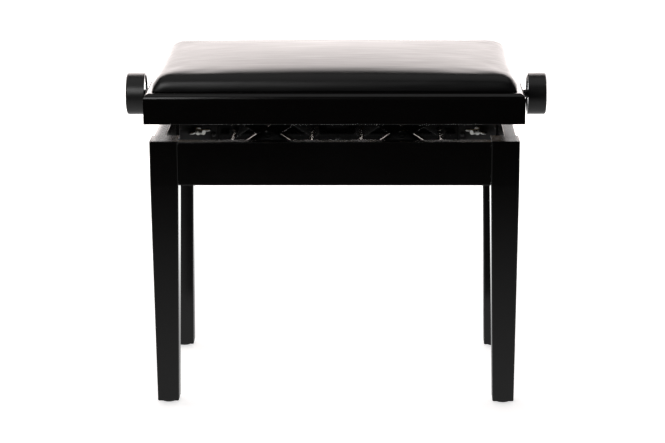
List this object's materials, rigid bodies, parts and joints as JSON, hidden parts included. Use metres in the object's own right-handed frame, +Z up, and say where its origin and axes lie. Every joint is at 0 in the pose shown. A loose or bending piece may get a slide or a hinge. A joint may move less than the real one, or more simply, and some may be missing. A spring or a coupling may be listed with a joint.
{
  "type": "height-adjustable keyboard bench",
  "caption": "Padded keyboard bench with tapered legs whose seat rises on a scissor mechanism turned by side knobs.",
  "frame": {"origin": "on the floor under the middle of the bench", "axes": "+X to the right seen from the front, along the bench; +Y to the back; +Z up"},
  "size_m": [0.634, 0.335, 0.511],
  "materials": {
    "lacquered_wood": "satin black lacquer",
    "vinyl": "smooth black upholstery vinyl",
    "black_steel": "black powder coat",
    "bright_steel": "bright zinc plated",
    "black_plastic": "moulded matt black",
    "plywood": "bare plywood"
  },
  "bodies": {
    "base": {"leg_front_left": "lacquered_wood", "leg_front_right": "lacquered_wood", "leg_rear_right": "lacquered_wood", "leg_rear_left": "lacquered_wood", "glide_front_left": "black_plastic", "glide_front_right": "black_plastic", "glide_rear_right": "black_plastic", "glide_rear_left": "black_plastic", "apron_front": "lacquered_wood", "apron_right": "lacquered_wood", "apron_rear": "lacquered_wood", "apron_left": "lacquered_wood", "corner_bracket_front_left": "black_steel", "corner_bracket_front_right": "black_steel", "corner_bracket_rear_right": "black_steel", "corner_bracket_rear_left": "black_steel", "wing_bolt_front_left": "bright_steel", "wing_bolt_front_right": "bright_steel", "wing_bolt_rear_right": "bright_steel", "wing_bolt_rear_left": "bright_steel", "base_rail_front": "black_steel", "base_rail_rear": "black_steel", "lower_fixed_rod_left": "bright_steel", "lower_fixed_rod_right": "bright_steel"},
    "arm_a_left": {"arm_a_left_front": "black_steel", "arm_a_left_rear": "black_steel", "centre_pin_left_front": "black_steel", "centre_pin_left_rear": "black_steel"},
    "arm_b_left": {"arm_b_left_front": "black_steel", "arm_b_left_rear": "black_steel", "lower_sliding_rod_left": "bright_steel"},
    "arm_a_right": {"arm_a_right_front": "black_steel", "arm_a_right_rear": "black_steel", "centre_pin_right_front": "black_steel", "centre_pin_right_rear": "black_steel"},
    "arm_b_right": {"arm_b_right_front": "black_steel", "arm_b_right_rear": "black_steel", "lower_sliding_rod_right": "bright_steel"},
    "nut_left": {"nut_bar_left": "black_steel"},
    "nut_right": {"nut_bar_right": "black_steel"},
    "seat": {"bearing_bar_left": "black_steel", "bearing_bar_right": "black_steel", "upper_rail_front": "black_steel", "upper_rail_rear": "black_steel", "seat_rail_front": "lacquered_wood", "seat_rail_right": "lacquered_wood", "seat_rail_rear": "lacquered_wood", "seat_rail_left": "lacquered_wood", "seat_board": "plywood", "seat_block_front_left": "plywood", "seat_block_front_right": "plywood", "seat_block_rear_right": "plywood", "seat_block_rear_left": "plywood", "cushion": "vinyl", "bush_right": "black_plastic", "bush_left": "black_plastic"},
    "spindle": {"spindle": "bright_steel", "knob_right": "black_plastic", "knob_left": "black_plastic"}
  },
  "joints": [
    {"name": "lift", "type": "hinge", "parent": "base", "child": "arm_a_left", "pos_m": [-0.16, 0, 0.3625], "axis": [0, -1, 0], "range_deg": [-11.9, 25.6]},
    {"name": "cross_left", "type": "hinge", "parent": "arm_a_left", "child": "arm_b_left", "pos_m": [-0.099, 0, 0.40225], "axis": [0, -1, 0], "range_deg": [-51.4, 24]},
    {"name": "seat_pivot_left", "type": "hinge", "parent": "arm_b_left", "child": "seat", "pos_m": [-0.16, 0, 0.442], "axis": [0, -1, 0], "range_deg": [-12, 25.7]},
    {"name": "lift_right", "type": "hinge", "parent": "base", "child": "arm_a_right", "pos_m": [0.16, 0, 0.3625], "axis": [0, 1, 0], "range_deg": [-12, 25.7]},
    {"name": "cross_right", "type": "hinge", "parent": "arm_a_right", "child": "arm_b_right", "pos_m": [0.099, 0, 0.40225], "axis": [0, 1, 0], "range_deg": [-51.4, 24]},
    {"name": "nut_pivot_left", "type": "hinge", "parent": "arm_a_left", "child": "nut_left", "pos_m": [-0.038, 0, 0.442], "axis": [0, -1, 0], "range_deg": [-25.7, 12]},
    {"name": "nut_pivot_right", "type": "hinge", "parent": "arm_a_right", "child": "nut_right", "pos_m": [0.038, 0, 0.442], "axis": [0, 1, 0], "range_deg": [-25.7, 12]},
    {"name": "knob_turn", "type": "hinge", "parent": "seat", "child": "spindle", "pos_m": [0, 0, 0.442], "axis": [1, 0, 0], "range_deg": [-1150, 2470]}
  ],
  "couplings": [
    {"joint": "cross_left", "follows": "lift", "ratio": -2},
    {"joint": "seat_pivot_left", "follows": "lift", "ratio": 1},
    {"joint": "lift_right", "follows": "lift", "ratio": 1},
    {"joint": "cross_right", "follows": "lift", "ratio": -2},
    {"joint": "nut_pivot_left", "follows": "lift", "ratio": -1},
    {"joint": "nut_pivot_right", "follows": "lift", "ratio": -1},
    {"joint": "knob_turn", "follows": "lift", "ratio": 96}
  ]
}
